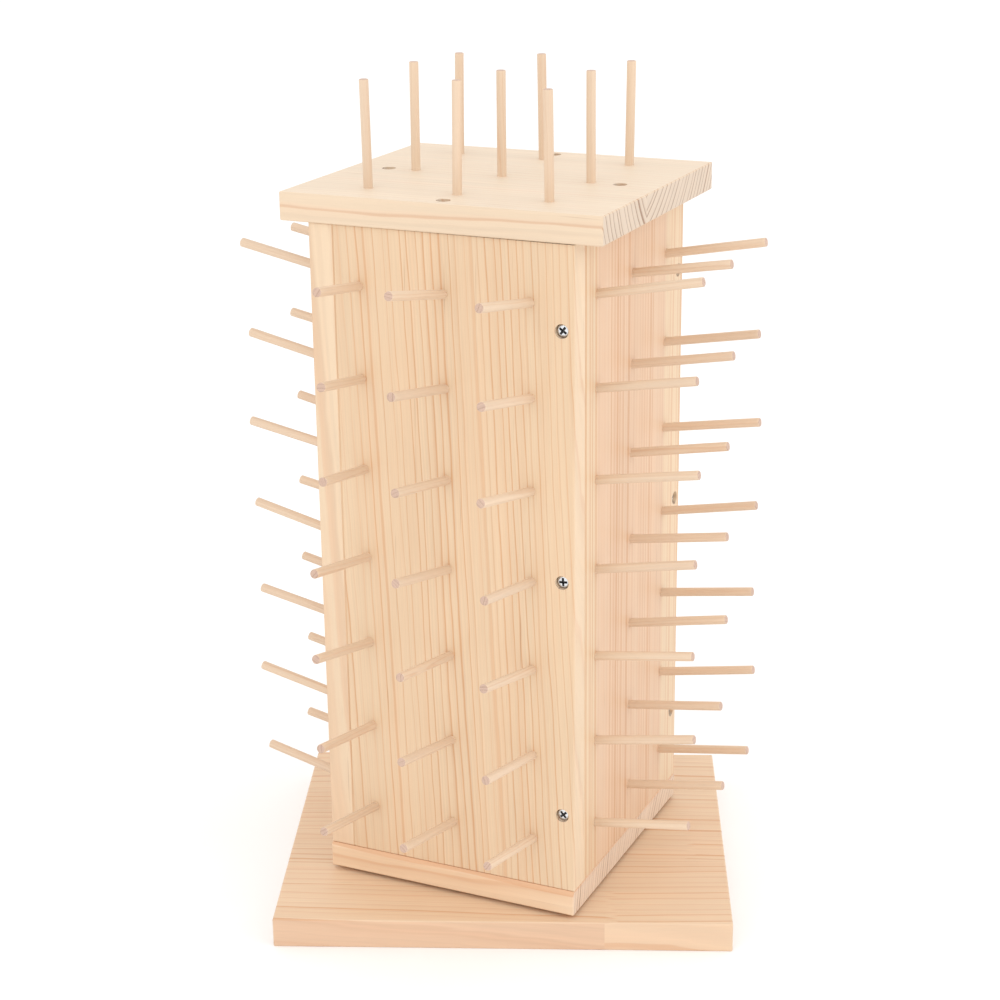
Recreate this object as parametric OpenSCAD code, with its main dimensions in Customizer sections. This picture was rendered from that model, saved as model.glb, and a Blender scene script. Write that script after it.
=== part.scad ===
// Revolving thread rack in pine.
// A square-cornered hollow column turns on a ball bearing let into its floor board. Each wall
// carries a grid of upward-tilted pegs, and the top board carries nine upright ones.
// Millimetres, +Z up, origin at the centre of the base board's underside, front towards -Y.

/* [Base board] */
// Width of the base board, left to right
base_w = 300; // [280:1:340]
// Depth of the base board, front to back
base_d = 252; // [230:1:300]
// Thickness of the base board
base_t = 20; // [16:1:25]

/* [Column] */
// Width of the column across its front
col_w = 178; // [170:1:200]
// Depth of the column from front to back
col_d = 189; // [170:1:200]
// Height of the four walls
wall_h = 427; // [420:1:480]
// Thickness of the walls
wall_t = 17; // [15:0.5:20]
// Thickness of the floor board under the walls
floor_t = 17; // [15:0.5:20]
// How far the floor board stands out in front of and behind the walls
floor_ledge = 1.5; // [0.5:0.5:3]
// Height of the bevel along the floor board's front and back edges
floor_bevel = 2.5; // [1:0.5:4]
// Open gap between the base board and the turning floor board
turn_gap = 2.5; // [2:0.5:4]
// How far the column is turned from square to the base, in degrees
rest_turn = -22; // [-45:1:45]
// Gap over the front panel's left end, under the top board
top_gap = 0.3; // [0.1:0.1:1]
// How far out of square the front panel's top is cut, in degrees: the gap widens to the right
top_slant = 0.2; // [0:0.05:0.3]

/* [Top board] */
// Width of the top board
top_w = 215; // [200:1:240]
// Depth of the top board
top_d = 194; // [190:1:240]
// Thickness of the top board
top_t = 18; // [15:0.5:20]

/* [Pegs] */
// Diameter of a peg
peg_d = 6; // [5:0.5:8]
// Full length of a peg, with the end that is glued into its hole
peg_len = 80; // [60:1:100]
// Depth of peg in its hole
peg_depth = 12; // [8:0.5:12]
// Upward tilt of the side pegs, in degrees
peg_tilt = 10.5; // [0:0.5:12]
// Sideways lean of the side pegs, in degrees: below 0 it is away from the wall's screwed edge
peg_lean = -2; // [-3:0.5:3]
// How many pegs of the front wall's first column, from the top, were pushed in askew
askew_rows = 3; // [0:1:7]
// Sideways lean of those pegs, in degrees
askew_lean = 6.5; // [-3:0.5:8]
// Rows of pegs on a wall
rows = 7; // [1:1:7]
// Height of the lowest row above the foot of the wall
row_start = 33.5; // [25:0.5:40]
// Distance from row to row
row_pitch = 59.3; // [50:0.1:60]
// Distance from peg to peg across the front and back walls
front_pitch = 57.5; // [40:0.5:58]
// Distance from peg to peg across the side walls
side_pitch = 60.5; // [40:0.5:62]
// How far each wall's grid sits towards the wall's screwed edge
grid_shift = 2.5; // [0:0.5:4]
// Distance from peg to peg across the top board, left to right
top_pitch_x = 61; // [40:0.5:65]
// Distance from peg to peg across the top board, front to back
top_pitch_y = 66.5; // [40:0.5:70]
// Diameter of the peg's end that is turned down to fit its hole
tenon_d = 5.6; // [4:0.1:5.6]
// Largest error of a hand-drilled peg's angle, in degrees
peg_sway = 1; // [0:0.1:1.5]
// Largest error in the length that a peg was cut to
peg_trim = 1.2; // [0:0.1:1.5]

/* [Bearing] */
// Side of the bearing's square plates
plate_w = 100; // [96:1:104]
// Thickness of the bearing's sheet steel
sheet_t = 1.2; // [1:0.1:1.5]
// Height of the whole bearing
bearing_h = 8; // [8:0.1:8.5]
// Diameter of a bearing ball
ball_d = 5; // [4.6:0.1:5]
// Number of balls
balls = 16; // [8:1:24]
// Radius of the ring of balls
ball_ring_r = 35; // [34:0.5:36]

/* [Screws] */
// Length of the wood screws that hold the boards, under the head
screw_len = 25; // [20:1:25]
// Diameter of the wood screws
screw_d = 4; // [3.5:0.1:4.5]
// Distance from the middle screw of a corner to the ones above and below it
screw_pitch = 160; // [120:1:180]
// Depth of the counterbores that sink the top and floor boards' screws
sink_depth = 5; // [4:0.5:6]
// Depth of the counterbores that sink the corner screws in the walls
corner_sink = 4.5; // [3:0.5:4.5]
// Diameter of the access hole in the base board, for driving the upper bearing screws
access_d = 16; // [14:1:18]

/* [Hidden] */
SIDES = ["front", "right", "back", "left"];
peg_nodes = [for (side = SIDES) for (row = [1:rows]) str(side, "_pegs_row_", row)];
top_peg_nodes = [for (row = [1:3]) str("top_pegs_row_", row)];
board_nodes = [
    "base_board", "floor_board", "front_panel", "right_panel", "back_panel", "left_panel", "top_board",
];
screw_nodes = [
    "front_corner_screws", "right_corner_screws", "back_corner_screws", "left_corner_screws",
    "top_board_screws", "floor_board_screws",
];
bearing_nodes = [
    "bearing_lower_plate", "bearing_upper_plate", "bearing_eyelet", "ball_cage", "bearing_balls",
    "bearing_lower_screws", "bearing_upper_screws",
];

$fn = 48;
pine = "#ecd2ac";
peg_wood = "#e6c795";
zinc = "#c9ccd0";
steel = "#a9adb2";

glue_gap = 0.05;
run_gap = 0.05;
cut = 1;
ease = 0.7;
peg_ease = 0.5;

// What a peg's error is for, and the steps in degrees from one side, row, column or kind of
// error to the next.
TILT = 1;
LEAN = 2;
TOP_LEAN_X = 3;
TOP_LEAN_Y = 4;
LENGTH = 5;
error_steps = [207, 216, 185, 255];

floor_z = base_t + turn_gap;
wall_z = floor_z + floor_t;
top_z = wall_z + wall_h;
bearing_mid = base_t + bearing_h / 2;
pocket_depth = bearing_h - turn_gap;
peg_out = peg_len - peg_depth;

screw_head_d = 8;
screw_head_h = 2.8;
screw_tip = 7;
point_d = 0.2;
sink_d = screw_head_d + 1;
cross_len = 4.8;
cross_w = 1;
cross_depth = 1.7;

plate_corner_cut = 3.7;
plate_corner_r = plate_w / sqrt(2) - plate_corner_cut;
plate_screw_inset = 8;
plate_screw_pos = plate_w / 2 - plate_screw_inset;
pocket_room = 2;
pocket_r = plate_corner_r + pocket_room;
race_half_w = 5;
eyelet_r = 19;
eyelet_wall = 1.5;
eyelet_rim_r = 24;
eyelet_rim_t = 1;
eyelet_play = 0.3;
cage_t = 0.8;
cage_half_w = 4;
plate_screw_len = 10;
plate_screw_d = 3.5;
plate_screw_head_d = 6.4;
plate_screw_head_h = 2;
plate_hole_depth = plate_screw_len - sheet_t + glue_gap;

// ---- Where things are -------------------------------------------------------------------

// Sides are numbered 0 to 3 from the front, anticlockwise seen from above. In a side's own
// frame the wall faces -Y and +X runs to the right for someone who looks at that wall.
function reach(side) = (side % 2 == 0 ? col_d : col_w) / 2;
function half_run(side) = (side % 2 == 0 ? col_w : col_d) / 2;
function peg_pitch(side) = side % 2 == 0 ? front_pitch : side_pitch;
function peg_x(side, col) = (col - 2) * peg_pitch(side) + grid_shift;
function peg_z(row) = wall_z + row_start + (rows - row) * row_pitch;

// Where a peg's shoulder sits on its axis, so that a tilted peg just clears the wood.
function shoulder(tilt, lean) =
    peg_d / 2 * tan(norm([tilt + peg_sway, abs(lean) + peg_sway])) + glue_gap;

// A repeatable error from -1 to 1 for each peg. Opposite walls have the same errors.
function error(side, row, col, kind) = sin(error_steps * [side % 2, row, col, kind]);

// The sideways lean that a side peg has before its error.
function lean_of(side, row, col) =
    side == 0 && col == 1 && row <= askew_rows ? askew_lean : peg_lean;

module turned() {
    rotate([0, 0, rest_turn]) children();
}

module at_side(side) {
    turned() rotate([0, 0, 90 * side]) children();
}

// The origin is where the peg's axis leaves the wall, and +Z runs out along the peg.
module at_side_peg(side, row, col) {
    tilt = peg_tilt + peg_sway * error(side, row, col, TILT);
    lean = lean_of(side, row, col) + peg_sway * error(side, row, col, LEAN);
    at_side(side)
        translate([peg_x(side, col), -reach(side), peg_z(row)])
            rotate([90 - tilt, 0, lean])
                children();
}

module at_top_peg(row, col) {
    lean_x = peg_sway * error(0, row, col, TOP_LEAN_X);
    lean_y = peg_sway * error(0, row, col, TOP_LEAN_Y);
    turned()
        translate([(col - 2) * top_pitch_x, (row - 2) * top_pitch_y, top_z + top_t])
            rotate([lean_x, lean_y, 0])
                children();
}

// The three screws that hold a wall to the next wall's edge. The origin is on the wall's
// surface, and +Z runs out of the wood.
module at_corner_screws(side) {
    middle = wall_z + wall_h / 2;
    at_side(side)
        for (step = [-1:1])
            translate([half_run(side) - wall_t / 2, -reach(side), middle + step * screw_pitch])
                rotate([90, 0, 0])
                    children();
}

// One screw over the middle of each wall.
module at_wall_middles() {
    for (side = [0:3])
        at_side(side)
            translate([0, wall_t / 2 - reach(side), 0])
                children();
}

module at_plate_corners() {
    for (turn = [45:90:315])
        rotate([0, 0, turn])
            translate([plate_screw_pos * sqrt(2), 0, 0])
                children();
}

// ---- Boards -----------------------------------------------------------------------------

module eased_outline(size_x, size_y, chamfer) {
    x = size_x / 2;
    y = size_y / 2;
    polygon([
        [chamfer - x, -y], [x - chamfer, -y], [x, chamfer - y], [x, y - chamfer],
        [x - chamfer, y], [chamfer - x, y], [-x, y - chamfer], [-x, chamfer - y],
    ]);
}

// A board with its foot at z = 0, centred in plan, with all twelve edges eased.
module board(size_x, size_y, size_z) {
    translate([0, 0, size_z / 2])
        intersection() {
            linear_extrude(size_z, center = true) eased_outline(size_x, size_y, ease);
            rotate([90, 0, 0]) linear_extrude(size_y, center = true) eased_outline(size_x, size_z, ease);
            rotate([90, 0, 90]) linear_extrude(size_x, center = true) eased_outline(size_y, size_z, ease);
        }
}

module screw_hole(hole_d, depth) {
    translate([0, 0, -depth]) cylinder(d = hole_d + 2 * glue_gap, h = depth + cut);
}

// A through hole with a counterbore that is seat deep. The origin is on the board's surface.
module sunk_hole(seat, thickness) {
    translate([0, 0, -seat]) cylinder(d = sink_d, h = seat + cut);
    screw_hole(screw_d, thickness + cut);
}

module peg_hole() {
    depth = peg_depth + glue_gap;
    translate([0, 0, -depth]) cylinder(d = tenon_d + 2 * glue_gap, h = depth + peg_d);
}

module base_board() {
    color(pine)
        difference() {
            board(base_w, base_d, base_t);
            translate([0, 0, base_t]) at_plate_corners() screw_hole(plate_screw_d, plate_hole_depth);
            translate([0, -plate_screw_pos * sqrt(2), -cut]) cylinder(d = access_d, h = base_t + 2 * cut);
        }
}

// The bevelled front and back edges leave a narrow ledge at the foot of the walls.
module floor_blank() {
    depth = col_d + 2 * floor_ledge;
    half = depth / 2;
    intersection() {
        translate([0, 0, floor_z]) board(col_w, depth, floor_t);
        translate([0, 0, floor_z])
            rotate([90, 0, 90])
                linear_extrude(col_w + 2 * cut, center = true)
                    polygon([
                        [-half, 0], [half, 0], [half, floor_t - floor_bevel], [half - floor_ledge, floor_t],
                        [floor_ledge - half, floor_t], [-half, floor_t - floor_bevel],
                    ]);
    }
}

module floor_board() {
    color(pine)
        difference() {
            turned() floor_blank();
            translate([0, 0, floor_z - cut]) cylinder(r = pocket_r, h = pocket_depth + cut);
            turned()
                translate([0, 0, base_t + bearing_h])
                    at_plate_corners()
                        mirror([0, 0, 1]) screw_hole(plate_screw_d, plate_hole_depth);
            at_wall_middles() translate([0, 0, floor_z]) mirror([0, 0, 1]) sunk_hole(sink_depth, floor_t);
        }
}

// What the saw took off the top of the front panel.
module slanted_top() {
    at_side(0)
        translate([-half_run(0), -reach(0) - cut, top_z - top_gap])
            rotate([0, top_slant, 0])
                cube([2 * half_run(0) + cut, wall_t + 2 * cut, wall_t]);
}

module wall_panel(side) {
    run = 2 * half_run(side) - wall_t;
    before = (side + 3) % 4;
    color(pine)
        difference() {
            at_side(side)
                translate([wall_t / 2, wall_t / 2 - reach(side), wall_z])
                    board(run, wall_t, wall_h);
            if (side == 0) slanted_top();
            for (row = [1:rows]) for (col = [1:3]) at_side_peg(side, row, col) peg_hole();
            at_corner_screws(side) sunk_hole(corner_sink, wall_t);
            at_corner_screws(before) screw_hole(screw_d, corner_sink + screw_len + glue_gap);
            at_side(side)
                translate([0, wall_t / 2 - reach(side), 0]) {
                    translate([0, 0, top_z]) screw_hole(screw_d, sunk_reach(top_t));
                    translate([0, 0, wall_z]) mirror([0, 0, 1]) screw_hole(screw_d, sunk_reach(floor_t));
                }
        }
}

// How far the screw of the top or floor board goes into the wall beyond that board.
function sunk_reach(thickness) = screw_len + sink_depth - thickness + glue_gap;

module top_board() {
    color(pine)
        difference() {
            turned() translate([0, 0, top_z]) board(top_w, top_d, top_t);
            for (row = [1:3]) for (col = [1:3]) at_top_peg(row, col) peg_hole();
            at_wall_middles() translate([0, 0, top_z + top_t]) sunk_hole(sink_depth, top_t);
        }
}

// ---- Screws -----------------------------------------------------------------------------

// A pan-head screw: the underside of its head is at z = 0 and its point is below.
module pan_screw(head_d, head_h, shank_d, length, tip) {
    dome_r = (pow(head_d / 2, 2) + pow(head_h / 2, 2)) / head_h;
    difference() {
        union() {
            intersection() {
                cylinder(d = head_d, h = head_h);
                translate([0, 0, head_h - dome_r]) sphere(r = dome_r);
            }
            translate([0, 0, tip - length]) cylinder(d = shank_d, h = length - tip);
            translate([0, 0, -length]) cylinder(d1 = point_d, d2 = shank_d, h = tip);
        }
        for (turn = [0, 90])
            rotate([0, 0, turn])
                translate([-cross_len / 2, -cross_w / 2, head_h - cross_depth])
                    cube([cross_len, cross_w, cross_depth + cut]);
    }
}

module wood_screw() {
    pan_screw(screw_head_d, screw_head_h, screw_d, screw_len, screw_tip);
}

module plate_screw() {
    pan_screw(plate_screw_head_d, plate_screw_head_h, plate_screw_d, plate_screw_len, screw_tip / 2);
}

module corner_screws(side) {
    color(zinc) at_corner_screws(side) translate([0, 0, -corner_sink]) wood_screw();
}

module top_board_screws() {
    color(zinc) at_wall_middles() translate([0, 0, top_z + top_t - sink_depth]) wood_screw();
}

module floor_board_screws() {
    color(zinc) at_wall_middles() translate([0, 0, floor_z + sink_depth]) mirror([0, 0, 1]) wood_screw();
}

// ---- Bearing ----------------------------------------------------------------------------

// Half of the bearing, lying on z = 0: a square sheet with a raised race and a raised web
// around the middle. The ball groove is cut at half the bearing's height.
module bearing_half() {
    mid = bearing_h / 2;
    race_top = mid - cage_t;
    difference() {
        union() {
            intersection() {
                translate([-plate_w / 2, -plate_w / 2, 0]) cube([plate_w, plate_w, sheet_t]);
                cylinder(r = plate_corner_r, h = sheet_t);
            }
            cylinder(r = ball_ring_r + race_half_w, h = race_top);
        }
        translate([0, 0, -cut]) cylinder(r = ball_ring_r - race_half_w, h = cut + race_top - sheet_t);
        translate([0, 0, -cut]) cylinder(r = eyelet_r + run_gap, h = race_top + 2 * cut);
        translate([0, 0, mid])
            rotate_extrude() translate([ball_ring_r, 0]) circle(r = ball_d / 2 + run_gap);
        translate([0, 0, sheet_t]) at_plate_corners() screw_hole(plate_screw_d, sheet_t + cut);
    }
}

module bearing_lower_plate() {
    color(steel) translate([0, 0, base_t]) bearing_half();
}

module bearing_upper_plate() {
    color(steel)
        turned()
            translate([0, 0, base_t + bearing_h])
                mirror([0, 0, 1]) bearing_half();
}

// A hollow rivet through both webs. It sits on the lower one, and the upper one turns on it.
module bearing_eyelet() {
    low = base_t + bearing_h / 2 - cage_t - sheet_t;
    high = base_t + bearing_h / 2 + cage_t + sheet_t;
    color(steel)
        difference() {
            union() {
                translate([0, 0, low - eyelet_rim_t])
                    cylinder(r = eyelet_r, h = high - low + eyelet_play + 2 * eyelet_rim_t);
                translate([0, 0, low - eyelet_rim_t]) cylinder(r = eyelet_rim_r, h = eyelet_rim_t);
                translate([0, 0, high + eyelet_play]) cylinder(r = eyelet_rim_r, h = eyelet_rim_t);
            }
            translate([0, 0, low - eyelet_rim_t - cut])
                cylinder(r = eyelet_r - eyelet_wall, h = bearing_h + 2 * cut);
        }
}

module at_balls() {
    for (ball = [0:balls - 1])
        rotate([0, 0, ball * 360 / balls])
            translate([ball_ring_r, 0, bearing_mid])
                children();
}

// A flat ring that keeps the balls apart.
module ball_cage() {
    color(steel)
        difference() {
            translate([0, 0, bearing_mid - cage_t / 2]) cylinder(r = ball_ring_r + cage_half_w, h = cage_t);
            translate([0, 0, bearing_mid - cut]) cylinder(r = ball_ring_r - cage_half_w, h = 2 * cut);
            at_balls() cylinder(d = ball_d + 2 * run_gap, h = 2 * cut, center = true);
        }
}

module bearing_balls() {
    color(zinc) at_balls() sphere(d = ball_d);
}

module bearing_lower_screws() {
    color(zinc) translate([0, 0, base_t + sheet_t]) at_plate_corners() plate_screw();
}

module bearing_upper_screws() {
    color(zinc)
        turned()
            translate([0, 0, base_t + bearing_h - sheet_t])
                at_plate_corners()
                    mirror([0, 0, 1]) plate_screw();
}

// ---- Pegs -------------------------------------------------------------------------------

// A round peg with eased ends and a tenon below its shoulder, which is at z = seat. extra is how
// much longer than its nominal length it was cut.
module peg(seat, extra) {
    tip = peg_out + extra;
    rotate_extrude()
        polygon([
            [0, -peg_depth], [tenon_d / 2 - peg_ease, -peg_depth], [tenon_d / 2, peg_ease - peg_depth],
            [tenon_d / 2, seat], [peg_d / 2, seat],
            [peg_d / 2, tip - peg_ease], [peg_d / 2 - peg_ease, tip], [0, tip],
        ]);
}

module peg_row(side, row) {
    color(peg_wood)
        for (col = [1:3])
            at_side_peg(side, row, col)
                peg(
                    shoulder(peg_tilt, lean_of(side, row, col)),
                    peg_trim * error(side, row, col, LENGTH)
                );
}

module top_peg_row(row) {
    color(peg_wood)
        for (col = [1:3])
            at_top_peg(row, col) peg(shoulder(0, 0), peg_trim * error(0, row, col, LENGTH));
}

// ---- Nodes ------------------------------------------------------------------------------

base_board();
floor_board();
wall_panel(0);  // front_panel
wall_panel(1);  // right_panel
wall_panel(2);  // back_panel
wall_panel(3);  // left_panel
top_board();
corner_screws(0);  // front_corner_screws
corner_screws(1);  // right_corner_screws
corner_screws(2);  // back_corner_screws
corner_screws(3);  // left_corner_screws
top_board_screws();
floor_board_screws();
bearing_lower_plate();
bearing_upper_plate();
bearing_eyelet();
ball_cage();
bearing_balls();
bearing_lower_screws();
bearing_upper_screws();
for (side = [0:3]) for (row = [1:rows])
    peg_row(side, row);
for (row = [1:3])
    top_peg_row(row);
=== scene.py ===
"""Revolving thread rack in pine: the visual model, on the frame that the CAD packs.

The boards and the bearing are the CAD's own solids with procedural materials. The pegs and the
screws are rebuilt in more detail on the axes of the CAD's solids. Everything is in metres.
"""

import math
from collections import namedtuple

import bmesh
import bpy
import numpy as np
from mathutils import Matrix, Vector, noise


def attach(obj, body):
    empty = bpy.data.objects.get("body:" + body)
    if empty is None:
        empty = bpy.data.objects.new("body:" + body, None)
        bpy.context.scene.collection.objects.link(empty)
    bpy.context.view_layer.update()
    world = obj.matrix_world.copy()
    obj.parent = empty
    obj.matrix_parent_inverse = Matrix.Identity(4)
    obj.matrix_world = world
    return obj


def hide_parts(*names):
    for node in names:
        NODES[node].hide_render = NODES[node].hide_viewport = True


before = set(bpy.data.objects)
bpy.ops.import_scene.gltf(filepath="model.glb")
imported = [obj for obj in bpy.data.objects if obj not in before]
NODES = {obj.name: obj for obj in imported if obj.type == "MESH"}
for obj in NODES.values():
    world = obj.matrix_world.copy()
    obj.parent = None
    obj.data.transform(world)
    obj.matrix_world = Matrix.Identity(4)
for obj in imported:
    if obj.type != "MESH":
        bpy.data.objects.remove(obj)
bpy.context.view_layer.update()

MM = 0.001
SIDES = ("front", "right", "back", "left")
REST_TURN = math.radians(-22)

# Camera, fitted to the photograph's view
CAMERA_PLACE = (0.0547, -1.3529, 0.7304)
CAMERA_YAW = math.radians(-2.465)
CAMERA_PITCH = math.radians(-18.896)
CAMERA_ROLL = math.radians(-0.631)
CAMERA_LENS = 77.07
CAMERA_SENSOR = 36.0


def srgb(red, green, blue):
    """Linear RGBA from 0 to 255 display values."""
    channels = [value / 255 for value in (red, green, blue)]
    return [c / 12.92 if c <= 0.04045 else ((c + 0.055) / 1.055) ** 2.4 for c in channels] + [1.0]


# ---- Node trees ---------------------------------------------------------------------------


class Shader:
    """A new material with a Principled shader, and short calls that add nodes to it."""

    def __init__(self, name):
        self.material = bpy.data.materials.new(name)
        self.material.use_nodes = True
        self.tree = self.material.node_tree
        self.surface = self.tree.nodes["Principled BSDF"]

    def node(self, kind, inputs=(), **settings):
        made = self.tree.nodes.new(kind)
        for key, value in settings.items():
            setattr(made, key, value)
        for key, value in dict(inputs).items():
            self.feed(made.inputs[key], value)
        return made

    def feed(self, socket, value):
        if isinstance(value, bpy.types.NodeSocket):
            self.tree.links.new(value, socket)
        else:
            socket.default_value = value

    def set(self, name, value):
        self.feed(self.surface.inputs[name], value)

    def math(self, operation, *values, clamp=False):
        inputs = dict(enumerate(values))
        return self.node("ShaderNodeMath", inputs, operation=operation, use_clamp=clamp).outputs[0]

    def total(self, *values):
        result = values[0]
        for value in values[1:]:
            result = self.math("ADD", result, value)
        return result

    def combine(self, x, y, z):
        return self.node("ShaderNodeCombineXYZ", {"X": x, "Y": y, "Z": z}).outputs[0]

    def separate(self, vector):
        return self.node("ShaderNodeSeparateXYZ", {"Vector": vector}).outputs[:]

    def scaled(self, vector, scale):
        node = self.node("ShaderNodeVectorMath", {0: vector, 1: scale}, operation="MULTIPLY")
        return node.outputs[0]

    def noise(self, vector, detail=2.0, roughness=0.5):
        inputs = {"Vector": vector, "Scale": 1.0, "Detail": detail, "Roughness": roughness}
        return self.node("ShaderNodeTexNoise", inputs).outputs[0]

    def noise_along(self, value, detail=2.0):
        inputs = {"W": value, "Scale": 1.0, "Detail": detail}
        return self.node("ShaderNodeTexNoise", inputs, noise_dimensions="1D").outputs[0]

    def random(self, value):
        """A repeatable number from 0 to 1 for each whole value."""
        return self.node("ShaderNodeTexWhiteNoise", {"W": value}, noise_dimensions="1D").outputs[0]

    def remap(self, value, low, high, to_low=0.0, to_high=1.0):
        inputs = {0: value, 1: low, 2: high, 3: to_low, 4: to_high}
        return self.node("ShaderNodeMapRange", inputs, interpolation_type="SMOOTHSTEP").outputs[0]

    def swing(self, value, amount):
        """Turns 0 to 1 into -amount to amount."""
        return self.math("MULTIPLY", self.math("SUBTRACT", value, 0.5), 2 * amount)

    def curve(self, value, stops):
        """A smooth curve through (position, height) stops."""
        ramp = self.node("ShaderNodeValToRGB", {"Fac": value})
        ramp.color_ramp.interpolation = "EASE"
        elements = ramp.color_ramp.elements
        while len(elements) < len(stops):
            elements.new(0.5)
        for element, (position, height) in zip(elements, stops):
            element.position = position
            element.color = (height, height, height, 1.0)
        return ramp.outputs[0]

    def mix(self, amount, first, second, blend="MIX"):
        node = self.node("ShaderNodeMix", data_type="RGBA", blend_type=blend)
        self.feed(node.inputs["Factor"], amount)
        self.feed(node.inputs[6], first)
        self.feed(node.inputs[7], second)
        return node.outputs[2]

    def bump(self, height, depth, strength=1.0):
        inputs = {"Height": height, "Distance": depth, "Strength": strength}
        self.set("Normal", self.node("ShaderNodeBump", inputs).outputs[0])


# ---- Wood ---------------------------------------------------------------------------------

EARLY_SAP = srgb(229, 203, 171)
EARLY_HEART = srgb(226, 193, 163)
LATE_SAP = srgb(214, 168, 128)
LATE_HEART = srgb(208, 160, 122)
# The colour that paler board faces fade to: partly plainer wood, partly painted light
PALE = srgb(239, 223, 201)
MILD = srgb(228, 196, 164)
DEEP = srgb(220, 185, 154)
PEG_WOOD = srgb(219, 189, 159)
BOARD_END = (srgb(219, 202, 184), srgb(148, 120, 101))
PEG_END = (srgb(196, 160, 140), srgb(150, 112, 94))
RESIN = srgb(150, 104, 70)

# Latewood over one year: it builds up and ends at once. In some boards it is half of the year.
NARROW_LATE = ((0.0, 0.15), (0.04, 0.0), (0.64, 0.04), (0.80, 0.28), (0.90, 1.0), (0.96, 0.95), (1.0, 0.15))
WIDE_LATE = ((0.0, 0.35), (0.08, 0.0), (0.40, 0.10), (0.62, 0.75), (0.82, 1.0), (0.94, 0.9), (1.0, 0.35))

# The stretch of heartwood, for a piece that has none: it lies beyond every ring.
NO_HEART = (-300, -290)

# How a piece of wood was cut from its log, in millimetres from the middle of the piece.
# pith is where the log's centre lies, across and through the piece, and lean is its slope along
# the grain. spacing is the width of a year's growth in the middle of the piece, and crowding how
# much narrower the years get over 100 mm. boldness is the weakest and strongest that latewood
# shows, and tint multiplies the linear colour. wander is how far the rings stray from circles,
# heart is the stretch of darker, pinker wood and year is one of the two curves above.
Figure = namedtuple(
    "Figure",
    "pith lean spacing boldness seed tint crowding wander heart year",
    defaults=(0.1, 3, NO_HEART, NARROW_LATE),
)

# Scales of the wood's textures, per metre across, through and along the grain
SLOW_BENDS = (22, 22, 2.6)
QUICK_BENDS = (110, 110, 14)
FLOW = (150, 150, 5)
CLOUDS = (45, 45, 7)
FIBRES = (1500, 1500, 40)
PORES = (1900, 1900, 500)
STREAKS = (620, 620, 14)
# The uneven lower edge of the painted shade along the floor board's top
SHADE_EDGE_BENDS = (40, 40, 9)
FINE_RINGS = 900.0

WOOD_ROUGHNESS = 0.58
WOOD_RELIEF = 0.12 * MM


def growth(shader, grain, figure):
    """Growth rings round a pith that runs along z of the grain frame.

    Returns the distance outwards from the ring in the middle of the piece, the share of latewood
    and the ring's own random number.
    """
    across, through, along = shader.separate(grain)
    slow = shader.swing(shader.noise(shader.scaled(grain, SLOW_BENDS), 1.0), figure.wander * MM)
    quick = shader.swing(shader.noise(shader.scaled(grain, QUICK_BENDS), 2.0), 1.1 * MM)
    offsets = []
    for place, slope, pith in zip((across, through), figure.lean, figure.pith):
        drift = shader.math("MULTIPLY", along, slope)
        offsets.append(shader.total(place, slow, quick, drift, -pith * MM))
    squares = [shader.math("MULTIPLY", offset, offset) for offset in offsets]
    middle = math.hypot(*figure.pith) * MM
    reach = shader.math("SUBTRACT", shader.math("SQRT", shader.total(*squares)), middle)
    crowd = shader.math("MULTIPLY_ADD", reach, figure.crowding / (100 * MM), 1.0)
    years = shader.math("MULTIPLY", shader.math("DIVIDE", reach, figure.spacing * MM), crowd)
    pace = shader.noise_along(shader.total(shader.math("MULTIPLY", years, 0.9), figure.seed), 1.0)
    years = shader.total(years, shader.swing(pace, 0.4))
    own = shader.random(shader.total(shader.math("FLOOR", years), figure.seed + 0.5))
    return reach, shader.curve(shader.math("FRACT", years), figure.year), own


def heartwood(shader, reach, stretch):
    """1 within a stretch of rings, with soft ends."""
    edge = 1.5 * MM
    low, high = (value * MM for value in stretch)
    begins = shader.remap(reach, low - edge, low + edge)
    ends = shader.remap(reach, high - edge, high + edge, 1.0, 0.0)
    return shader.math("MULTIPLY", begins, ends)


def ring_colours(shader, reach, late, own, figure):
    """The rings' colour, the latewood's colour and how strongly each ring shows."""
    heart_share = heartwood(shader, reach, figure.heart)
    early_colour = shader.mix(heart_share, EARLY_SAP, EARLY_HEART)
    late_colour = shader.mix(heart_share, LATE_SAP, LATE_HEART)
    line = shader.math("MULTIPLY", late, shader.remap(own, 0.0, 1.0, *figure.boldness), clamp=True)
    return shader.mix(line, early_colour, late_colour), late_colour, line


def shaded(shader, colour, waves):
    """The colour, lighter and darker by each of the (texture, amount) waves."""
    shade = shader.total(1.0, *[shader.swing(texture, amount) for texture, amount in waves])
    return shader.mix(1.0, colour, shader.combine(shade, shade, shade), "MULTIPLY")


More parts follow.
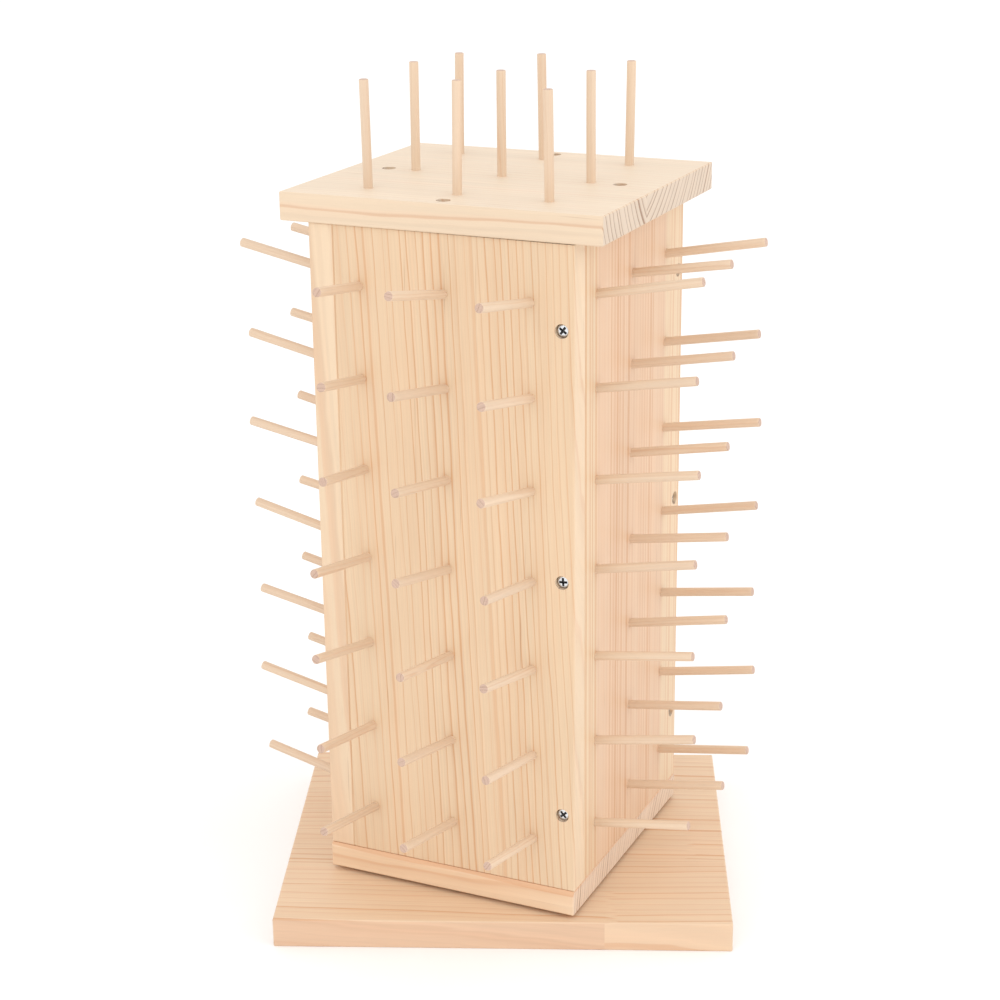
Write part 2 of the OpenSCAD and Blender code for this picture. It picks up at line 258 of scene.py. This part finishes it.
def wood(shader, grain, facing, figure, end_colours, plain=0.0, plain_colour=PALE, painted_shade=0.0):
    """Pine's colour, roughness and bump from a grain frame: x across, y through, z along.

    facing is 1 where the surface is end grain, which has early and late colours of its own. plain
    fades the rings into one colour, and painted_shade pulls them towards latewood as painted shade.
    """
    reach, late, own = growth(shader, grain, figure)
    along_radius = shader.total(shader.math("MULTIPLY", reach, FINE_RINGS), figure.seed)
    fine_rings = shader.noise_along(along_radius, 2.0)
    flow = shader.noise(shader.scaled(grain, FLOW), 3.0, 0.6)
    cloud = shader.noise(shader.scaled(grain, CLOUDS), 2.0)
    fibre = shader.noise(shader.scaled(grain, FIBRES), 2.0, 0.6)
    pores = shader.noise(shader.scaled(grain, PORES), 1.0)
    streak = shader.noise(shader.scaled(grain, STREAKS), 1.0)

    colour, late_colour, line = ring_colours(shader, reach, late, own, figure)
    colour = shader.mix(shader.remap(flow, 0.35, 0.7, 0.0, 0.18), colour, late_colour)
    colour = shader.mix(plain, colour, plain_colour)
    # Painted shade: where asked for, the colour is pulled towards latewood, standing in for shade that
    # falls there
    colour = shader.mix(painted_shade, colour, late_colour)
    colour = shader.mix(shader.remap(streak, 0.72, 0.80, 0.0, 0.25), colour, RESIN)
    ends = shader.mix(line, *end_colours)
    ends = shader.mix(shader.remap(pores, 0.3, 0.7, 0.1, 0.4), ends, colour)
    colour = shader.mix(facing, colour, ends)
    colour = shaded(shader, colour, [(flow, 0.04), (cloud, 0.07), (fibre, 0.045), (fine_rings, 0.07)])
    tint = shader.combine(*figure.tint)
    shader.set("Base Color", shader.mix(1.0, colour, tint, "MULTIPLY"))

    rough_ends = shader.math("MULTIPLY", shader.math("MULTIPLY", pores, facing), 0.7)
    raised_fibre = shader.math("MULTIPLY", fibre, 0.6)
    raised_late = shader.math("MULTIPLY", late, 0.2)
    shader.bump(shader.total(raised_fibre, raised_late, rough_ends), WOOD_RELIEF, 0.55)
    sheen = shader.math("MULTIPLY", late, -0.07)
    shader.set("Roughness", shader.total(WOOD_ROUGHNESS, shader.swing(fibre, 0.06), sheen))
    shader.set("Specular IOR Level", 0.5)
    return shader.material


def towards(shader, turn, axis):
    """1 where the surface faces one of the board's own axes, either way."""
    normal = shader.node("ShaderNodeTexCoord").outputs["Normal"]
    turned = shader.node("ShaderNodeMapping", {"Vector": normal, "Rotation": (0, 0, -turn)}).outputs[0]
    face = shader.math("ABSOLUTE", shader.separate(turned)["XYZ".index(axis)])
    return shader.remap(face, 0.6, 0.9)


def turned_corners(node, turn):
    """A node's lowest and highest corner in axes turned about Z."""
    points = np.array([Matrix.Rotation(-turn, 3, "Z") @ vertex.co for vertex in node.data.vertices])
    return points.min(0), points.max(0)


def board_frame(shader, node, turn, along):
    """Coordinates from the board's centre: x across its width, y through it, z along the grain."""
    low, high = turned_corners(node, turn)
    centre = (low + high) / 2
    place = shader.node("ShaderNodeTexCoord").outputs["Object"]
    inputs = {"Vector": place, "Rotation": (0, 0, -turn), "Location": tuple(-centre)}
    x, y, z = shader.separate(shader.node("ShaderNodeMapping", inputs).outputs[0])
    return shader.combine(x, y, z) if along == "Z" else shader.combine(y, z, x)


def cover(node, material):
    """Gives a CAD node one material and none of its own."""
    node.data.materials.clear()
    node.data.materials.append(material)


def mirrored_halves(shader, grain, joint):
    """A grain frame for a board that is glued of two mirrored halves, joined at one place across."""
    across, through, along = shader.separate(grain)
    from_joint = shader.math("SUBTRACT", across, joint * MM)
    half = shader.math("SIGN", from_joint)
    return shader.combine(shader.math("ABSOLUTE", from_joint), through, shader.total(along, half))


def board(name, turn, along, figure, joint=None, plain_and_lit_faces=(), painted_shade_above=None):
    """Covers one CAD board in pine.

    joint is where across it is glued of two halves. plain_and_lit_faces are the axes that its paler
    faces look along, each with how pale they are: partly plainer wood, partly painted light where they
    catch more light. painted_shade_above is the height through the board above which it darkens
    towards latewood: painted shade along its top, under the walls.
    """
    shader = Shader(name + "_pine")
    grain = board_frame(shader, NODES[name], turn, along)
    through = shader.separate(grain)[1]
    if joint is not None:
        grain = mirrored_halves(shader, grain, joint)
    plain = painted_shade = 0.0
    # Faces along these axes fade towards a pale colour: partly plainer wood, partly painted light on faces
    # that catch more light
    for axis, amount in plain_and_lit_faces:
        plain = shader.total(plain, shader.math("MULTIPLY", towards(shader, turn, axis), amount))
    # Painted shade: above this height through the board the colour darkens towards latewood, standing in
    # for the shade along its top under the walls
    if painted_shade_above is not None:
        uneven = shader.swing(shader.noise(shader.scaled(grain, SHADE_EDGE_BENDS), 1.0), 3 * MM)
        shade_edge = shader.total(through, uneven)
        painted_shade = shader.remap(shade_edge, (painted_shade_above - 0.4) * MM, (painted_shade_above + 0.4) * MM, 0.0, 0.75)
    wood(shader, grain, towards(shader, turn, along), figure, BOARD_END, plain, PALE, painted_shade)
    cover(NODES[name], shader.material)


# The base board's staves and blocks, and the finger joints between the blocks. STAGGER is how
# far each stave's joints are moved along from those of the stave before, in blocks.
STAVE = 42 * MM
BLOCK = 230 * MM
STAGGER = 0.38
STAGGER_START = 8.83
FINGER = 4 * MM
FINGER_LEN = 9 * MM

# How far each block's grain is moved about, across, through and along, in metres
BLOCK_SHIFT = (24 * MM, 10 * MM, 3.0)


def glued_base(figure):
    """The base board: staves glued side by side, each of blocks that are finger-jointed."""
    shader = Shader("base_board_pine")
    grain = board_frame(shader, NODES["base_board"], 0.0, "X")
    across, through, along = shader.separate(grain)
    stave = shader.math("FLOOR", shader.math("DIVIDE", across, STAVE))
    moved = shader.total(shader.math("MULTIPLY", stave, STAGGER), STAGGER_START)
    stagger = shader.math("FRACT", moved)
    zigzag = shader.math("PINGPONG", across, FINGER / 2)
    fingers = shader.math("MULTIPLY", zigzag, 2 * FINGER_LEN / FINGER)
    run = shader.math("DIVIDE", shader.total(along, fingers, -FINGER_LEN / 2), BLOCK)
    block = shader.math("FLOOR", shader.total(run, stagger))
    key = shader.total(shader.math("MULTIPLY", stave, 7.0), block)
    first, second, third = (shader.random(shader.total(key, extra)) for extra in (11.5, 23.5, 37.5))
    middle = shader.math("MULTIPLY", shader.total(stave, 0.5), STAVE)
    flip = shader.math("SIGN", shader.math("SUBTRACT", third, 0.5))
    local = shader.math("MULTIPLY", shader.math("SUBTRACT", across, middle), flip)
    shifts = [shader.math("MULTIPLY", *pair) for pair in zip((first, second, third), BLOCK_SHIFT)]
    places = [shader.total(*pair) for pair in zip((local, through, along), shifts)]
    block_grain = shader.combine(*places)
    front = towards(shader, 0.0, "Y")
    plain = shader.math("MULTIPLY", front, shader.remap(third, 0.0, 1.0, 0.5, 0.85))
    tone = shader.mix(third, MILD, DEEP)
    wood(shader, block_grain, towards(shader, 0.0, "X"), figure, BOARD_END, plain, tone)
    cover(NODES["base_board"], shader.material)


def dowel_wood():
    """The pegs' wood, from what each peg carries: a grain frame, a mask of its end and a tone."""
    shader = Shader("peg_wood_fine")
    grain = shader.node("ShaderNodeAttribute", attribute_name="grain").outputs["Vector"]
    facing = shader.node("ShaderNodeAttribute", attribute_name="end_grain").outputs["Fac"]
    tone = shader.node("ShaderNodeAttribute", attribute_name="tone").outputs["Fac"]
    even = shader.remap(tone, 0.0, 1.0, 0.5, 0.7)
    figure = Figure(
        pith=(-20, 13), lean=(0.004, 0.003), spacing=2.4, boldness=(0.4, 0.8), seed=9,
        tint=(0.99, 1.035, 1.11), crowding=0, wander=2,
    )
    return wood(shader, grain, facing, figure, PEG_END, even, PEG_WOOD)


# ---- Metal --------------------------------------------------------------------------------

BLOTCHES = (420, 420, 420)
SCRATCHES = (9000, 700, 9000)
METAL_RELIEF = 0.01 * MM


def metal(name, colour, rough, blotch, scratch):
    """Plated or rolled steel with soft blotches and fine scratches."""
    shader = Shader(name)
    place = shader.node("ShaderNodeTexCoord").outputs["Object"]
    clouds = shader.noise(shader.scaled(place, BLOTCHES), 3.0, 0.6)
    lines = shader.noise(shader.scaled(place, SCRATCHES), 2.0, 0.6)
    shader.set("Base Color", shaded(shader, colour, [(clouds, blotch), (lines, 0.04)]))
    shader.set("Metallic", 1.0)
    uneven = shader.swing(clouds, 0.1)
    shader.set("Roughness", shader.total(rough, uneven, shader.swing(lines, scratch)))
    shader.bump(shader.total(clouds, shader.math("MULTIPLY", lines, 0.4)), METAL_RELIEF, 0.3)
    return shader.material


# ---- Reading the CAD's solids -------------------------------------------------------------

# Corner points nearer to each other than this are one point.
WELD = 0.001 * MM
# Radii and heights of corner points that differ by less than this count as equal.
NEAR = 0.05 * MM


def solids(node):
    """The separate solids of a CAD node, each as an array of its corner points."""
    mesh = bmesh.new()
    mesh.from_mesh(node.data)
    bmesh.ops.remove_doubles(mesh, verts=mesh.verts, dist=WELD)
    waiting = set(mesh.verts)
    found = []
    while waiting:
        seed = waiting.pop()
        group, edge = [seed], [seed]
        while edge:
            for link in edge.pop().link_edges:
                for vertex in link.verts:
                    if vertex in waiting:
                        waiting.remove(vertex)
                        group.append(vertex)
                        edge.append(vertex)
        found.append(np.array([vertex.co for vertex in group]))
    mesh.free()
    return sorted(found, key=lambda points: tuple(points.mean(0).round(6)))


def long_axis(points):
    """The middle and direction of a turned solid's axis."""
    centre = points.mean(0)
    _, _, directions = np.linalg.svd(points - centre, full_matrices=False)
    return centre, directions[0]


def placed(points, outward):
    """A frame on a turned solid's axis, +Z towards outward, with its ends' heights and radius."""
    centre, axis = long_axis(points)
    if np.dot(axis, outward) < 0:
        axis = -axis
    heights = (points - centre) @ axis
    radii = np.linalg.norm(points - centre - np.outer(heights, axis), axis=1)
    turn = Vector((0, 0, 1)).rotation_difference(Vector(axis)).to_matrix().to_4x4()
    return Matrix.Translation(Vector(centre)) @ turn, heights, radii


# ---- Turned pieces ------------------------------------------------------------------------


def lathe(mesh, rings, segments):
    """Closes rings of (radius, height, centre shift) into a turned solid. Returns its vertices."""
    rows = []
    for radius, height, shift in rings:
        row = []
        for step in range(segments):
            angle = 2 * math.pi * step / segments
            x = radius * math.cos(angle) + shift
            y = radius * math.sin(angle)
            row.append(mesh.verts.new((x, y, height)))
        rows.append(row)
    for low, high in zip(rows, rows[1:]):
        for step in range(segments):
            after = (step + 1) % segments
            mesh.faces.new((low[step], low[after], high[after], high[step]))
    mesh.faces.new(list(reversed(rows[0])))
    mesh.faces.new(rows[-1])
    return [vertex for row in rows for vertex in row]


def piece(name, mesh, materials, body, node, smooth=35):
    """Makes a bmesh into a piece that stands for a CAD node."""
    data = bpy.data.meshes.new(name)
    bmesh.ops.recalc_face_normals(mesh, faces=mesh.faces)
    mesh.to_mesh(data)
    mesh.free()
    for material in materials:
        data.materials.append(material)
    data.shade_smooth()
    data.set_sharp_from_angle(angle=math.radians(smooth))
    made = bpy.data.objects.new(name, data)
    bpy.context.scene.collection.objects.link(made)
    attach(made, body)
    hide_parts(node)
    return made


# A peg's shape: its eased tip, its slight bow and unevenness, and how far its full thickness
# goes into the wood
PEG_SEGMENTS = 28
PEG_STEPS = 14
PEG_EASE = 0.55 * MM
PEG_BOW = 0.06 * MM
PEG_WAVE = 0.02 * MM
PEG_WAVES = 5.0
PEG_SLIM = 0.05 * MM
PEG_SINK = 1.2 * MM
PEG_DISH = 0.02 * MM

# How far each peg's grain is moved about, across, through and along, in metres
PEG_SHIFT = (0.011, 0.009, 0.31)


def peg_rings(low, shoulder, high, radius, tenon, seed):
    """The turned outline of one peg, from its hidden end to its eased tip."""
    start = shoulder - PEG_SINK
    rings = [(tenon - PEG_EASE, low, 0.0), (tenon, low + PEG_EASE, 0.0), (tenon, start, 0.0)]
    for step in range(PEG_STEPS + 1):
        share = step / PEG_STEPS
        height = start + share * (high - PEG_EASE - start)
        uneven = noise.noise(Vector((seed * 7.3, share * PEG_WAVES, 0.0))) * PEG_WAVE
        way_up = min(1.0, max(0.0, (height - shoulder) / (high - shoulder)))
        bow = PEG_BOW * math.sin(math.pi * way_up) * math.sin(seed)
        rings.append((radius - PEG_SLIM + uneven, height, bow))
    for angle in (30, 60, 85):
        turn = math.radians(angle)
        inset = PEG_EASE * (1 - math.cos(turn))
        rise = PEG_EASE * math.sin(turn)
        rings.append((radius - PEG_SLIM - inset, high - PEG_EASE + rise, 0.0))
    for share in (0.6, 0.25):
        rings.append((share * radius, high - PEG_DISH, 0.0))
    return rings


def pegs(node_name, material, seed):
    """Rebuilds one row of pegs on the axes of its CAD solids."""
    mesh = bmesh.new()
    grain = mesh.verts.layers.float_vector.new("grain")
    ends = mesh.verts.layers.float.new("end_grain")
    tone = mesh.verts.layers.float.new("tone")
    for count, points in enumerate(solids(NODES[node_name])):
        own = seed + 13.7 * count
        outward = (0, 0, 1) if node_name.startswith("top") else (points.mean(0) * (1, 1, 0))
        place, heights, radii = placed(points, outward)
        full, tenon = radii.max(), np.unique(radii.round(5))[-2]
        shoulder = heights[radii > full - NEAR].min()
        tip = heights.max()
        made = lathe(mesh, peg_rings(heights.min(), shoulder, tip, full, tenon, own), PEG_SEGMENTS)
        spin = Matrix.Rotation(own * 2.4, 3, "Z")
        own_tone = 0.5 + 0.5 * math.sin(own * 5.1)
        across, through, along = PEG_SHIFT
        shift = Vector((across * math.sin(own), through * math.cos(own * 1.7), along * own))
        for vertex in made:
            vertex[tone] = own_tone
            vertex[grain] = spin @ vertex.co + shift
            vertex[ends] = 1.0 if vertex.co.z > tip - 0.3 * PEG_EASE else 0.0
            vertex.co = place @ vertex.co
    return piece(node_name + "_turned", mesh, [material], "column", node_name)


def build_pegs():
    material = dowel_wood()
    names = [name for name in NODES if "_pegs_row_" in name]
    for count, name in enumerate(sorted(names)):
        pegs(name, material, 3.1 * count + 1.0)


# ---- Screws -------------------------------------------------------------------------------

SCREW_SEGMENTS = 32
THREAD_SEGMENTS = 16
THREAD_STEPS = 6
THREAD_PITCH = 1.8 * MM
THREAD_DEPTH = 0.45 * MM

# A pan head: its upright rim's share of its height, and how flat its dome is (0 is a flat top)
HEAD_RIM = 0.45
HEAD_FLATNESS = 0.33

# The cross recess: its width and its arms' width in head radii, and its depth in head heights
RECESS_WIDTH = 1.36
RECESS_ARM = 0.36
RECESS_DEPTH = 0.8
# Faces within this share of the head's radius can belong to the recess.
RECESS_REACH = 0.85
RECESS_EDGE = 0.06 * MM
HEAD_SLIM = 0.01 * MM


def head_rings(radius, height):
    """A pan head's outline: an upright rim and a flattened dome."""
    rim = HEAD_RIM * height
    rings = [(0.97 * radius, 0.0, 0.0), (radius, 0.06 * height, 0.0), (radius, rim, 0.0)]
    for angle in (15, 30, 45, 60, 75, 86):
        turn = math.radians(angle)
        across = math.cos(turn) ** HEAD_FLATNESS
        rings.append((radius * across, rim + (height - rim) * math.sin(turn), 0.0))
    return rings


def cross_cutter(width, arm, depth, top):
    """A tapered cross, as closed mesh data: from the recess's floor to just above the head."""
    mesh = bmesh.new()
    rows = []
    floor = (top - depth, 0.28 * width, 0.26 * arm)
    above = (top + 0.4 * MM, 0.56 * width, 0.56 * arm)
    for height, reach, half in (floor, above):
        outline = []
        for quarter in range(4):
            turn = Matrix.Rotation(quarter * math.pi / 2, 3, "Z")
            for x, y in ((half, half), (half, reach), (-half, reach)):
                outline.append(mesh.verts.new(turn @ Vector((x, y, height))))
        rows.append(outline)
    low, high = rows
    for step in range(len(low)):
        after = (step + 1) % len(low)
        mesh.faces.new((low[step], low[after], high[after], high[step]))
    mesh.faces.new(low)
    mesh.faces.new(high)
    bmesh.ops.recalc_face_normals(mesh, faces=mesh.faces)
    data = bpy.data.meshes.new("cross_cutter")
    mesh.to_mesh(data)
    mesh.free()
    return data


def dome_height(radius, height, across):
    """How high a pan head stands at a distance from its axis."""
    rim = HEAD_RIM * height
    share = min(1.0, (across / radius) ** (1 / HEAD_FLATNESS))
    return rim + (height - rim) * math.sqrt(1 - share ** 2)


def cut_head(radius, height):
    """The head with its recess cut and its edges softened, as mesh data.

    The faces of the recess have the second material, a darker steel: painted shade and some grime in the
    cross.
    """
    mesh = bmesh.new()
    lathe(mesh, head_rings(radius, height), SCREW_SEGMENTS)
    bmesh.ops.recalc_face_normals(mesh, faces=mesh.faces)
    data = bpy.data.meshes.new("screw_head")
    mesh.to_mesh(data)
    mesh.free()
    head = bpy.data.objects.new("screw_head", data)
    cross = cross_cutter(RECESS_WIDTH * radius, RECESS_ARM * radius, RECESS_DEPTH * height, height)
    cutter = bpy.data.objects.new("cross_cutter", cross)
    for made in (head, cutter):
        bpy.context.scene.collection.objects.link(made)
    boolean = head.modifiers.new("recess", "BOOLEAN")
    boolean.object = cutter
    boolean.operation = "DIFFERENCE"
    boolean.solver = "EXACT"
    bevel = head.modifiers.new("soft_edges", "BEVEL")
    bevel.width = RECESS_EDGE
    bevel.segments = 2
    bevel.limit_method = "ANGLE"
    bevel.angle_limit = math.radians(40)
    shown = head.evaluated_get(bpy.context.evaluated_depsgraph_get())
    result = bpy.data.meshes.new_from_object(shown)
    for face in result.polygons:
        across = face.center.xy.length
        sunk = dome_height(radius, height, across) - face.center.z
        in_shaded_recess = across < RECESS_REACH * radius and sunk > 2 * RECESS_EDGE
        face.material_index = 1 if in_shaded_recess else 0
    for made in (head, cutter):
        bpy.data.objects.remove(made)
    return result


def add_thread(mesh, radius, length, tip, place):
    """A pointed shank with a helical thread below z = 0."""
    rows = []
    steps = int(length / THREAD_PITCH * THREAD_STEPS)
    for step in range(steps + 1):
        depth = length * step / steps
        core = (radius - THREAD_DEPTH) * min(1.0, (length - depth) / tip + 0.03)
        row = []
        for segment in range(THREAD_SEGMENTS):
            angle = 2 * math.pi * segment / THREAD_SEGMENTS
            turn = (depth / THREAD_PITCH + segment / THREAD_SEGMENTS) % 1.0
            ridge = max(0.0, 1 - abs(turn - 0.5) * 4) if depth > 2 * THREAD_PITCH else 0.0
            reach = core + THREAD_DEPTH * ridge * min(1.0, (length - depth) / tip)
            corner = Vector((reach * math.cos(angle), reach * math.sin(angle), -depth))
            row.append(mesh.verts.new(place @ corner))
        rows.append(row)
    for high, low in zip(rows, rows[1:]):
        for segment in range(THREAD_SEGMENTS):
            after = (segment + 1) % THREAD_SEGMENTS
            mesh.faces.new((low[segment], low[after], high[after], high[segment]))
    mesh.faces.new(rows[0])
    mesh.faces.new(list(reversed(rows[-1])))


def screws(node_name, outward_of, body, materials, heads):
    """Rebuilds a node's screws, heads outward, on the axes of its CAD solids."""
    mesh = bmesh.new()
    for count, points in enumerate(solids(NODES[node_name])):
        place, heights, radii = placed(points, outward_of(points))
        head_r = radii.max()
        seat = heights[radii > head_r - NEAR].min()
        head_h = heights.max() - seat
        shank_r = radii[np.abs(heights - seat) < NEAR].min()
        length = seat - heights.min()
        size = (round(head_r, 5), round(head_h, 5))
        if size not in heads:
            heads[size] = cut_head(head_r - HEAD_SLIM, head_h - HEAD_SLIM)
        driven = Matrix.Rotation(0.9 * count + 0.35, 4, "Z")
        seated = place @ Matrix.Translation((0, 0, seat)) @ driven
        before = len(mesh.verts)
        mesh.from_mesh(heads[size])
        mesh.verts.ensure_lookup_table()
        for vertex in mesh.verts[before:]:
            vertex.co = seated @ vertex.co
        add_thread(mesh, shank_r, length, 3 * shank_r, seated)
    return piece(node_name + "_threaded", mesh, materials, body, node_name, 30)


def build_screws():
    zinc = metal("zinc_plate", srgb(226, 229, 232), 0.34, 0.10, 0.05)
    # The recess has a darker steel: painted shade inside the cross, with some grime
    recess = metal("zinc_recess_shade", srgb(96, 96, 98), 0.5, 0.3, 0.05)
    materials = [zinc, recess]
    heads = {}
    for side in SIDES:
        screws(side + "_corner_screws", square_out, "column", materials, heads)
    screws("top_board_screws", lambda points: (0, 0, 1), "column", materials, heads)
    screws("floor_board_screws", lambda points: (0, 0, -1), "column", materials, heads)
    screws("bearing_lower_screws", lambda points: (0, 0, 1), "base", materials, heads)
    screws("bearing_upper_screws", lambda points: (0, 0, -1), "column", materials, heads)


def square_out(points):
    """The way out of the wall for a corner screw: its long axis, away from the column's axis."""
    centre, axis = long_axis(points)
    return axis if np.dot(axis, centre * (1, 1, 0)) > 0 else -axis


# ---- The rest of the CAD nodes ------------------------------------------------------------


def build_base_board():
    glued_base(Figure(
        pith=(-75, -14), lean=(0.03, 0.012), spacing=7.6, boldness=(0.35, 0.95), seed=5,
        tint=(1.0, 0.98, 0.99), wander=5,
    ))


def build_floor_board():
    figure = Figure(
        pith=(150, -55), lean=(0.01, 0.01), spacing=4.4, boldness=(0.4, 0.9), seed=21,
        tint=(1.05, 1.02, 1.02),
    )
    # Its top band under the walls is darkened: painted shade
    board("floor_board", REST_TURN, "X", figure, painted_shade_above=6.4)


def build_walls():
    front, right, back, left = [REST_TURN + side * math.pi / 2 for side in range(4)]
    front_figure = Figure(
        pith=(-300, -60), lean=(0.045, 0.0), spacing=5.3, boldness=(0.3, 1.3), seed=33,
        tint=(0.96, 0.935, 0.91),
    )
    # Its side edges are paler: partly plainer edge grain, partly painted light
    board("front_panel", front, "Z", front_figure, plain_and_lit_faces=[("X", 0.35)])
    right_figure = Figure(
        pith=(-400, 60), lean=(0.004, 0.0), spacing=4.9, boldness=(0.1, 0.9), seed=47,
        tint=(0.985, 1.0, 1.01), crowding=0.03, heart=(-64, 55), year=WIDE_LATE,
    )
    board("right_panel", right, "Z", right_figure)
    back_figure = Figure(
        pith=(20, -70), lean=(0.016, 0.030), spacing=5.6, boldness=(0.4, 0.9), seed=59,
        tint=(0.99, 0.97, 0.95), crowding=0.0, heart=(-40, 12),
    )
    board("back_panel", back, "Z", back_figure)
    left_figure = Figure(
        pith=(-160, 60), lean=(-0.014, 0.012), spacing=5.0, boldness=(0.3, 0.8), seed=73,
        tint=(0.965, 0.935, 0.9), year=WIDE_LATE,
    )
    # Its side edges are paler: partly plainer edge grain, partly painted light
    board("left_panel", left, "Z", left_figure, plain_and_lit_faces=[("X", 0.35)])


def build_top_board():
    figure = Figure(
        pith=(-66, 77), lean=(-0.004, -0.027), spacing=5.6, boldness=(0.8, 1.4), seed=87,
        tint=(0.945, 0.945, 0.955), crowding=0.05, wander=4,
    )
    # Its top and its front and back edges are paler: partly plainer wood, partly painted light, the top
    # most of all
    board("top_board", REST_TURN, "X", figure, joint=-25, plain_and_lit_faces=[("Z", 0.65), ("Y", 0.3)])


def build_bearing():
    rolled = metal("rolled_steel", srgb(176, 180, 184), 0.38, 0.16, 0.08)
    polished = metal("polished_steel", srgb(205, 208, 212), 0.14, 0.05, 0.03)
    for name in ("bearing_lower_plate", "bearing_upper_plate", "bearing_eyelet", "ball_cage"):
        cover(NODES[name], rolled)
    cover(NODES["bearing_balls"], polished)


# ---- Studio -------------------------------------------------------------------------------

FLOOR_REACH = 12.0
FLOOR_GLOW = 0.035
SKY = 1.1
LAMP_SIZE = 1.8
KEY_PLACE = (-1.1, -2.1, 1.9)
KEY_POWER = 9.0
FILL_PLACE = (2.2, -0.9, 1.5)
FILL_POWER = 10.0
OBJECT_MIDDLE = (0.0, 0.0, 0.25)


def add_camera():
    lens = bpy.data.cameras.new("camera")
    lens.lens = CAMERA_LENS
    lens.sensor_width = CAMERA_SENSOR
    lens.clip_start = 0.01
    lens.clip_end = 100.0
    camera = bpy.data.objects.new("camera", lens)
    bpy.context.scene.collection.objects.link(camera)
    ahead = Vector((
        math.sin(CAMERA_YAW) * math.cos(CAMERA_PITCH),
        math.cos(CAMERA_YAW) * math.cos(CAMERA_PITCH),
        math.sin(CAMERA_PITCH),
    ))
    level = Vector((math.cos(CAMERA_YAW), -math.sin(CAMERA_YAW), 0.0))
    upright = level.cross(ahead)
    right = level * math.cos(CAMERA_ROLL) + upright * math.sin(CAMERA_ROLL)
    up = upright * math.cos(CAMERA_ROLL) - level * math.sin(CAMERA_ROLL)
    turn = Matrix((right, up, -ahead)).transposed().to_4x4()
    camera.matrix_world = Matrix.Translation(CAMERA_PLACE) @ turn
    bpy.context.scene.camera = camera


def add_floor():
    mesh = bmesh.new()
    bmesh.ops.create_grid(mesh, x_segments=4, y_segments=4, size=FLOOR_REACH)
    data = bpy.data.meshes.new("floor")
    mesh.to_mesh(data)
    mesh.free()
    floor = bpy.data.objects.new("floor", data)
    bpy.context.scene.collection.objects.link(floor)
    shader = Shader("studio_floor")
    shader.set("Base Color", (0.95, 0.95, 0.95, 1.0))
    shader.set("Emission Color", (1.0, 1.0, 1.0, 1.0))
    shader.set("Emission Strength", FLOOR_GLOW)
    shader.set("Roughness", 0.9)
    shader.set("Specular IOR Level", 0.1)
    data.materials.append(shader.material)


def add_light(name, place, power):
    """A soft square lamp that faces the object."""
    lamp = bpy.data.lights.new(name, "AREA")
    lamp.shape = "SQUARE"
    lamp.size = LAMP_SIZE
    lamp.energy = power
    light = bpy.data.objects.new(name, lamp)
    bpy.context.scene.collection.objects.link(light)
    light.location = place
    aim = Vector(OBJECT_MIDDLE) - Vector(place)
    light.rotation_euler = aim.to_track_quat("-Z", "Y").to_euler()


def add_studio():
    scene = bpy.context.scene
    scene.view_settings.view_transform = "Standard"
    world = bpy.data.worlds.new("studio")
    world.use_nodes = True
    background = world.node_tree.nodes["Background"]
    background.inputs["Color"].default_value = (1.0, 1.0, 1.0, 1.0)
    background.inputs["Strength"].default_value = SKY
    scene.world = world
    add_light("key", KEY_PLACE, KEY_POWER)
    add_light("fill", FILL_PLACE, FILL_POWER)
    add_floor()
    add_camera()


build_base_board()
build_floor_board()
build_walls()
build_top_board()
build_bearing()
build_pegs()
build_screws()
add_studio()
